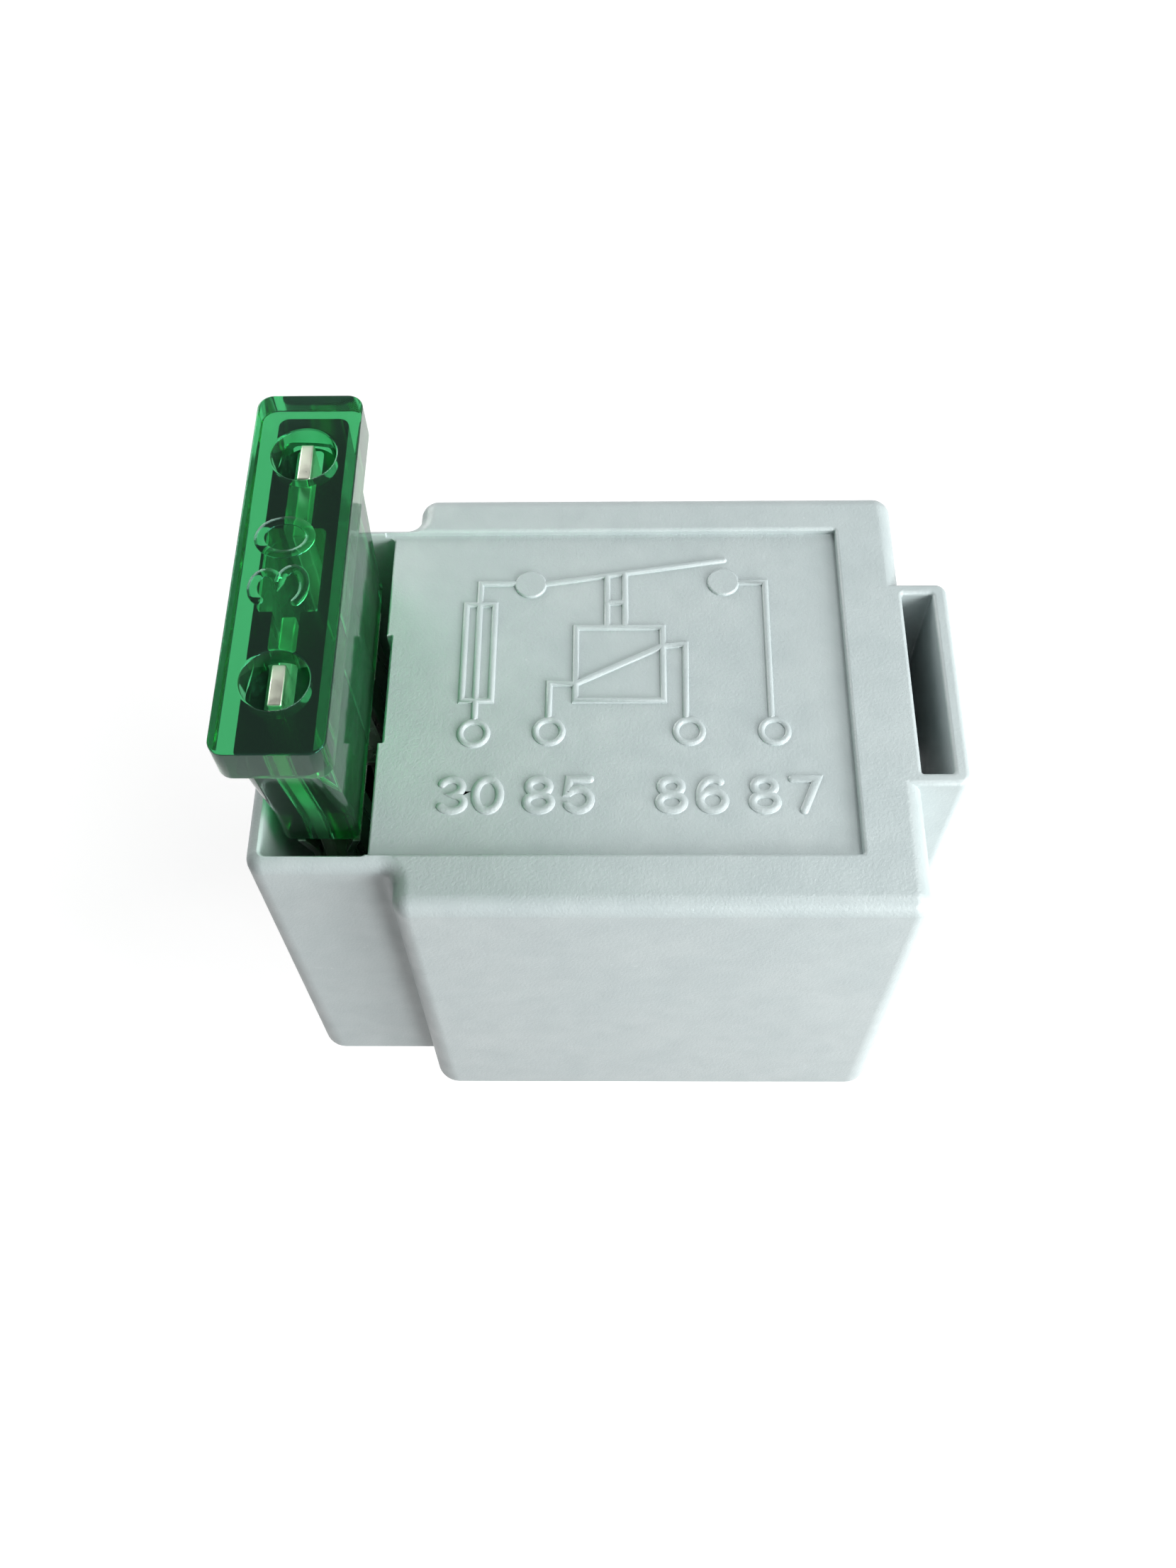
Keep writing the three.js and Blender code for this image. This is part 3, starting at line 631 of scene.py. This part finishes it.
def symbol(x0, x1, y0, y1):
    return [(x0, y0), (x1, y0), (x1, y1), (x0, y1)]


def diagram_strokes():
    """The lines of the circuit: ([points], closed)."""
    def arm_y(x):
        share = (x - ARM_START[0]) / (ARM_END[0] - ARM_START[0])
        return ARM_START[1] + share * (ARM_END[1] - ARM_START[1])

    disc_a, disc_b = DISCS
    ring_30, ring_85 = TERMINAL_RINGS[:2]
    ring_top = ring_85[1] + DISC_R
    coil_start, coil_end = ((x, ring_top) for x in COIL_WIRE_ENDS_X)
    strokes = [
        ([(ring_30[0], ring_30[1] + DISC_R), WIRE_30, (disc_a[0] - DISC_R, WIRE_30[1])], False),
        (symbol(*FUSE_SYMBOL), True),
        ([ARM_START, ARM_END], False),
        (symbol(*COIL_SYMBOL), True),
        ([(x, LINK_BAR_Y) for x in LINK_X], False),
        ([coil_start, *COIL_WIRE, coil_end], False),
        ([(disc_b[0] + DISC_R, WIRE_87[1]), WIRE_87, (WIRE_87_END_X, ring_top)], False),
    ]
    strokes += [([(x, COIL_SYMBOL[3]), (x, arm_y(x))], False) for x in LINK_X]
    return strokes


# Centrelines of the digits in a box one unit wide and one high, centred on 0, 0.
DIGITS = {
    "0": [(oval(0, 0, 0.5, 0.5), True)],
    "3": [(arc(-0.02, 0.25, 0.42, 0.25, 155, -80) + arc(0, -0.25, 0.5, 0.25, 80, -150), False)],
    "5": [([(0.46, 0.5), (-0.36, 0.5), (-0.44, 0.06)] + arc(0, -0.16, 0.5, 0.34, 140, -150), False)],
    "6": [(oval(0, -0.19, 0.5, 0.31), True), (arc(0.04, -0.05, 0.54, 0.55, 190, 58), False)],
    "7": [([(-0.5, 0.5), (0.5, 0.5), (-0.1, -0.5)], False)],
    "8": [(oval(0, 0.26, 0.42, 0.24), True), (oval(0, -0.24, 0.5, 0.26), True)],
}
DIGIT_W = 1.2
DIGIT_TALL = 1.72
DIGIT_Y = -5.98
DIGIT_PLACES = [
    ("3", -10.13), ("0", -8.38), ("8", -5.89), ("5", -3.97),
    ("8", 0.55), ("6", 2.54), ("8", 5.07), ("7", 7.06),
]
DISC_SUNK = 0.15
DISC_ROUND = LINE_H * 0.8


def digit(text, x):
    """A digit of the terminals' numbers on the panel."""
    marks = []
    for points, closed in DIGITS[text]:
        line = [(x + px * DIGIT_W, DIGIT_Y + py * DIGIT_TALL) for px, py in points]
        marks.append(rib(line, DIGIT_R, DIGIT_H, PANEL_FLOOR, closed))
    return marks


def disc(x, y):
    plan = circle_of(x, y, DISC_R, 40)
    return loft([(PANEL_FLOOR - DISC_SUNK, plan(0))] + rounded_top(plan, PANEL_FLOOR + LINE_H, DISC_ROUND, 5))


def terminal_ring(x, y):
    middle_r = DISC_R - LINE_R
    return rib(oval(x, y, middle_r, middle_r, 40), LINE_R, LINE_H, PANEL_FLOOR, True)


def cover():
    shell = cover_shell()
    marks = [rib(points, LINE_R, LINE_H, PANEL_FLOOR, closed) for points, closed in diagram_strokes()]
    marks += [disc(x, y) for x, y in DISCS]
    marks += [terminal_ring(x, y) for x, y in TERMINAL_RINGS]
    for text, x in DIGIT_PLACES:
        marks += digit(text, x)
    join(shell, marks)
    dress(shell, "cover")


# ---- Fuse ----------------------------------------------------------------------------------------
def fuse_plan(width, length, radius):
    box = (FUSE_X - width / 2, FUSE_X + width / 2, FUSE_Y - length / 2, FUSE_Y + length / 2)
    return plan_of(box, radius, 8)


def rating():
    """The rating in amperes, which reads from the fuse's right side."""
    marks = []
    for text, y in (("3", FUSE_Y - RATING_PITCH / 2), ("0", FUSE_Y + RATING_PITCH / 2)):
        for points, closed in DIGITS[text]:
            turned = [(RATING_X - py * RATING_TALL, y + px * RATING_W) for px, py in points]
            marks.append(rib(turned, RATING_R, RATING_H, FUSE_TOP - RATING_SUNK, closed))
    return marks


def fuse_housing():
    """A head over a thinner body, the rating in raised digits, and rooms inside that are open below."""
    head = fuse_plan(HEAD_W, HEAD_L, HEAD_CORNER)
    under = FUSE_TOP - HEAD_H
    foot = rounded_foot(fuse_plan(BODY_W, BODY_L, BODY_CORNER), FUSE_BOTTOM, BODY_ROUND)
    body = [(under - drop, fuse_plan(width, length, BODY_CORNER)(0)) for drop, width, length in SHOULDERS]
    housing = thing("fuse_shell", loft(foot + body))
    join(housing, [loft(rounded_foot(head, under, HEAD_ROUND) + rounded_top(head, FUSE_TOP, HEAD_ROUND))])
    chamber = fuse_plan(CHAMBER_W, CHAMBER_L, CHAMBER_CORNER)
    element_room = fuse_plan(ELEMENT_ROOM_W, ELEMENT_ROOM_L, ELEMENT_ROOM_CORNER)
    rooms = [prism(room(0), FUSE_BOTTOM - PAST, CHAMBER_TOP) for room in (chamber, element_room)]
    windows = [
        flared(circle_of(FUSE_X, y, WINDOW_R), FUSE_TOP - WINDOW_DEPTH, FUSE_TOP, WINDOW_ROUND)
        for y in (FUSE_Y - WINDOW_Y, FUSE_Y + WINDOW_Y)
    ]
    cut(housing, rooms + windows)
    join(housing, rating())
    dress(housing, "fuse_housing")


# ---- Metal and plastic pieces --------------------------------------------------------------------
# How far the edges of each piece are rounded.
EDGE_ROUND = {
    "base": 0.16,
    "terminal_30": 0.14, "terminal_85": 0.14, "terminal_86": 0.14, "terminal_87": 0.14,
    "feed_strip": 0.1, "common_strip": 0.1,
    "fuse_clip_back": 0.07, "fuse_clip_front": 0.07,
    "fuse_blade_back": 0.09, "fuse_blade_front": 0.09, "fuse_element": 0.06,
    "core": 0.18, "yoke": 0.16, "bobbin": 0.14,
    "fixed_contact": 0.14, "moving_contact": 0.14,
    "armature": 0.14, "contact_leaf": 0.05, "leaf_rivet_back": 0.12, "leaf_rivet_front": 0.12,
}
SHARP = math.radians(35)
FLAT = math.radians(1)
SAME_POINT = 1e-6


def rounded_solid(node):
    """A CAD solid in millimetres, its flat faces made whole and its sharp edges rounded."""
    bm = bmesh.new()
    bm.from_mesh(frame["nodes"][node].data)
    bmesh.ops.remove_doubles(bm, verts=bm.verts, dist=SAME_POINT)
    bm.transform(Matrix.Scale(1 / MM, 4))
    bmesh.ops.dissolve_limit(bm, angle_limit=FLAT, verts=bm.verts, edges=bm.edges)
    edges = [edge for edge in bm.edges if edge.calc_face_angle(0) > SHARP]
    bmesh.ops.bevel(
        bm, geom=edges, offset=EDGE_ROUND[node], offset_type="OFFSET", segments=3, profile=0.5,
        affect="EDGES", clamp_overlap=True,
    )
    return thing(node + "_rounded", bm)


# The blades as they pass through the base: the middle of each, and whether it is wide along y.
BLADES = {"30": ((0, 7.0), True), "87": ((0, -7.9), False), "85": ((-8.4, 0), True), "86": ((8.4, 0), True)}
BLADE_W, BLADE_T = 6.3, 0.8
WELL_MARGIN = 0.75
WELL_CORNER = 0.2
WELL_DEPTH = 0.35
LABEL_W, LABEL_TALL, LABEL_PITCH, LABEL_R, LABEL_DEPTH = 0.95, 1.4, 1.55, 0.16, 0.15
LABEL_PLACES = {"30": (3.0, 7.0), "87": (6.0, -7.9), "85": (-5.5, 0), "86": (5.5, 0)}
PIN_MARKS = [(-16.6, 7.2), (-16.6, -7.2), (8.6, 8.4), (8.6, -8.4), (-8.0, 8.4), (-8.0, -8.4)]
PIN_MARK_R = 0.9
PIN_MARK_DEPTH = 0.1


def base():
    """The base with a well round each blade, sunk terminal numbers beside them, and ejector marks."""
    plate = rounded_solid("base")
    tools = []
    for (x, y), along_y in BLADES.values():
        half_x, half_y = (BLADE_T / 2, BLADE_W / 2) if along_y else (BLADE_W / 2, BLADE_T / 2)
        box = (x - half_x, x + half_x, y - half_y, y + half_y)
        tools.append(prism(plan_of(box, WELL_CORNER, 8)(WELL_MARGIN), -PAST, WELL_DEPTH))
    for text, (x, y) in LABEL_PLACES.items():
        for place, mark in enumerate(text):
            middle = x + LABEL_PITCH * (place - 0.5)
            for points, closed in DIGITS[mark]:
                turned = [(middle + px * LABEL_W, y - py * LABEL_TALL) for px, py in points]
                tools.append(rib(turned, LABEL_R, LABEL_DEPTH, 0, closed, sides=8))
    tools += [prism(circle_of(x, y, PIN_MARK_R, 24)(0), -PAST, PIN_MARK_DEPTH) for x, y in PIN_MARKS]
    cut(plate, tools)
    dress(plate, "base")


# Any direction that no wire starts along.
FIRST_UP = (0.3, 0.8, 0.5)


def sections(path):
    """Two directions across a path at each of its points, which are carried along without twisting."""
    up = Vector(FIRST_UP)
    pairs = []
    for i in range(len(path)):
        ahead = (path[min(i + 1, len(path) - 1)] - path[max(i - 1, 0)]).normalized()
        up = (up - ahead * up.dot(ahead)).normalized()
        pairs.append((up, ahead.cross(up)))
    return pairs


def tube(bm, path, radius, sides=8):
    """A round wire along points, with closed ends."""
    rows = []
    for point, (up, side) in zip(path, sections(path)):
        ring = []
        for k in range(sides):
            angle = 2 * math.pi * k / sides
            ring.append(bm.verts.new(point + (up * math.cos(angle) + side * math.sin(angle)) * radius))
        rows.append(ring)
    for a, b in zip(rows, rows[1:]):
        bridge(bm, a, b)
    bm.faces.new(rows[0][::-1])
    bm.faces.new(rows[-1])


def smooth_path(points, steps):
    """Points along a Catmull-Rom curve, steps to each span."""
    knots = [Vector(p) for p in points]
    knots = [knots[0] * 2 - knots[1]] + knots + [knots[-1] * 2 - knots[-2]]
    path = []
    for a, b, c, d in zip(knots, knots[1:], knots[2:], knots[3:]):
        square, cube = 2 * a - 5 * b + 4 * c - d, 3 * b - a - 3 * c + d
        for k in range(steps):
            t = k / steps
            path.append(0.5 * (2 * b + (c - a) * t + square * t**2 + cube * t**3))
    path.append(knots[-2])
    return path


BRAID_PATH = [
    (-9.9, -5.85, 15.5), (-9.9, -5.85, 17.6), (-9.5, -4.2, 20.3),
    (-7.9, -0.6, 21.7), (-5.2, 1.9, 22.2), (-2.1, 3.2, 22.1),
]
BRAID_STEPS = 16
STRANDS = 6
STRAND_R = 0.17
STRAND_OUT = 0.355
STRAND_LAY = 3.2


def braid():
    """Strands laid round a middle one, one turn in each STRAND_LAY of length."""
    bm = bmesh.new()
    path = smooth_path(BRAID_PATH, BRAID_STEPS)
    lanes = [[] for _ in range(STRANDS)]
    travelled = 0.0
    for i, (point, (up, side)) in enumerate(zip(path, sections(path))):
        travelled += (point - path[i - 1]).length if i else 0.0
        for n, lane in enumerate(lanes):
            angle = 2 * math.pi * (n / STRANDS + travelled / STRAND_LAY)
            lane.append(point + (up * math.cos(angle) + side * math.sin(angle)) * STRAND_OUT)
    for lane in lanes + [path]:
        tube(bm, lane, STRAND_R)
    flexible(thing("braid_strands", bm), "braid")


SPRING_Y, SPRING_LOW, SPRING_HIGH = 9.95, 8.2, 18.4
SPRING_R, SPRING_WIRE_R, SPRING_TURNS = 0.75, 0.18, 11
SPRING_STEPS = 20
# How much the turns crowd towards the two ends.
SPRING_CROWDING = 0.11


def return_spring():
    """A tension spring with closer turns at its ends. In the relay it stretches as the armature's tail rises;
    here it is drawn at one length.
    """
    low, high = SPRING_LOW + SPRING_WIRE_R, SPRING_HIGH - SPRING_WIRE_R
    path = []
    steps = SPRING_TURNS * SPRING_STEPS
    for k in range(steps + 1):
        t = k / steps
        z = low + (high - low) * (t - SPRING_CROWDING * math.sin(2 * math.pi * t))
        angle = 2 * math.pi * SPRING_TURNS * t
        path.append(Vector((SPRING_R * math.cos(angle), SPRING_Y + SPRING_R * math.sin(angle), z)))
    bm = bmesh.new()
    tube(bm, path, SPRING_WIRE_R, 10)
    spring = thing("tension_spring", bm)
    flexible(spring, "return_spring")


COIL_Y = 0.5
WIRE_PITCH = 0.26
WIRE_GROOVE = 0.09
INNER_R = 4.3
ROWS_PER_TURN = 6
COIL_SIDES = 72


def winding():
    """The coil's outer layer as one continuous helix of wire."""
    low, high = extent("winding")
    outer = (high.x - low.x) / 2
    turns = (high.z - low.z) / WIRE_PITCH
    rows = int(turns * ROWS_PER_TURN)
    angles = [2 * math.pi * k / COIL_SIDES for k in range(COIL_SIDES)]
    inside = [INNER_R] * COIL_SIDES
    bm = bmesh.new()

    def grooved(z):
        shares = (z / WIRE_PITCH - angle / (2 * math.pi) for angle in angles)
        return [outer - WIRE_GROOVE * abs(math.sin(math.pi * share)) for share in shares]

    def ring(z, radii):
        return [bm.verts.new((r * math.cos(t), COIL_Y + r * math.sin(t), z)) for t, r in zip(angles, radii)]

    rings = [ring(low.z, inside)]
    for k in range(rows + 1):
        z = low.z + (high.z - low.z) * k / rows
        rings.append(ring(z, grooved(z)))
    rings.append(ring(high.z, inside))
    for a, b in zip(rings, rings[1:] + rings[:1]):
        bridge(bm, a, b)
    dress(thing("coil_turns", bm), "winding", smooth_angle=75)


cover()
fuse_housing()
base()
braid()
return_spring()
winding()
for name in EDGE_ROUND:
    if name != "base":
        dress(rounded_solid(name), name)


# ---- Stage ---------------------------------------------------------------------------------------
# Metres. The floor is flat out to FLOOR_R and then curves up into a round backdrop far behind the lamps.
FLOOR_MIDDLE_R = 0.3
FLOOR_R = 1.2
BACKDROP_BEND = 0.5
BACKDROP_TOP = 1.8
BEND_STEPS = 12
FLOOR_SIDES = 96
FLOOR_GLOW = 0.72
WORLD_LIGHT = 0.13
LAMP_AIM = (0, 0, 0.01)

# The photo's view: degrees down, to the right and of roll, and the place in millimetres.
CAMERA_TURNS = (61.457, -2.382, -2.181)
CAMERA_PLACE = (-2.079, -39.387, 87.394)
LENS = 44.72
SENSOR = 36


def floor():
    """A plain pale floor that the blade tips stand on, with its backdrop. It lights no diffuse surface."""
    profile = [(FLOOR_MIDDLE_R, 0.0), (FLOOR_R, 0.0)]
    for k in range(1, BEND_STEPS + 1):
        angle = math.pi / 2 * k / BEND_STEPS
        profile.append((FLOOR_R + BACKDROP_BEND * math.sin(angle), BACKDROP_BEND * (1 - math.cos(angle))))
    profile.append((FLOOR_R + BACKDROP_BEND, BACKDROP_TOP))
    z = cad_box[0][2]
    bm = bmesh.new()
    rows = []
    for radius, rise in profile:
        turns = (2 * math.pi * k / FLOOR_SIDES for k in range(FLOOR_SIDES))
        rows.append([bm.verts.new((radius * math.cos(t), radius * math.sin(t), z + rise)) for t in turns])
    bm.faces.new(rows[0])
    for inner, outer in zip(rows, rows[1:]):
        bridge(bm, outer, inner)
    mesh = bpy.data.meshes.new("floor")
    bm.to_mesh(mesh)
    bm.free()
    mesh.shade_smooth()
    s = Shader("floor", Roughness=0.9, Specular_IOR_Level=0.1)
    s.colour(s.ramp(s.noise(6, 2.0), (0.42, 0.42, 0.42), (0.44, 0.44, 0.44)))
    s.surface.inputs["Emission Color"].default_value = WHITE
    s.surface.inputs["Emission Strength"].default_value = FLOOR_GLOW
    mesh.materials.append(s.material)
    obj = linked("floor", mesh)
    obj.visible_diffuse = False


def area_light(name, azimuth, elevation, distance, size, power):
    """A white disk lamp that faces the object. Azimuth is 0 at the front and 90 on the right."""
    light = bpy.data.lights.new(name, "AREA")
    light.shape = "DISK"
    light.size = size
    light.energy = power
    turn, tilt = math.radians(azimuth), math.radians(elevation)
    away = Vector((math.cos(tilt) * math.sin(turn), -math.cos(tilt) * math.cos(turn), math.sin(tilt)))
    obj = linked(name, light)
    obj.location = Vector(LAMP_AIM) + away * distance
    obj.rotation_euler = (-away).to_track_quat("-Z", "Y").to_euler()
    obj.visible_camera = False


def camera():
    """The camera at the photo's place and angle."""
    pitch, yaw, roll = (math.radians(v) for v in CAMERA_TURNS)
    forward = Vector((math.sin(yaw) * math.cos(pitch), math.cos(yaw) * math.cos(pitch), -math.sin(pitch)))
    level = forward.cross(Vector((0, 0, 1))).normalized()
    upright = level.cross(forward)
    right = level * math.cos(roll) + upright * math.sin(roll)
    up = upright * math.cos(roll) - level * math.sin(roll)
    data = bpy.data.cameras.new("camera")
    data.sensor_fit = "HORIZONTAL"
    data.sensor_width = SENSOR
    data.lens = LENS
    data.clip_start = 0.005
    data.clip_end = 20
    obj = linked("camera", data)
    turn = Matrix((right, up, -forward)).transposed().to_4x4()
    obj.matrix_world = Matrix.Translation(Vector(CAMERA_PLACE) * MM) @ turn
    bpy.context.scene.camera = obj


def sky():
    """A faint even light from all round, and colours shown as they are."""
    world = bpy.data.worlds.new("studio")
    world.use_nodes = True
    background = world.node_tree.nodes["Background"]
    background.inputs["Color"].default_value = WHITE
    background.inputs["Strength"].default_value = WORLD_LIGHT
    bpy.context.scene.world = world
    bpy.context.scene.view_settings.view_transform = "Standard"


camera()
floor()
sky()
# Azimuth, elevation, distance, size and power.
area_light("key", 66, 20, 0.18, 0.11, 0.32)
area_light("edge", 36, 18, 0.18, 0.07, 0.22)
area_light("fill", 84, 58, 0.20, 0.12, 0.22)
area_light("back", 218, 24, 0.45, 0.28, 1.1)
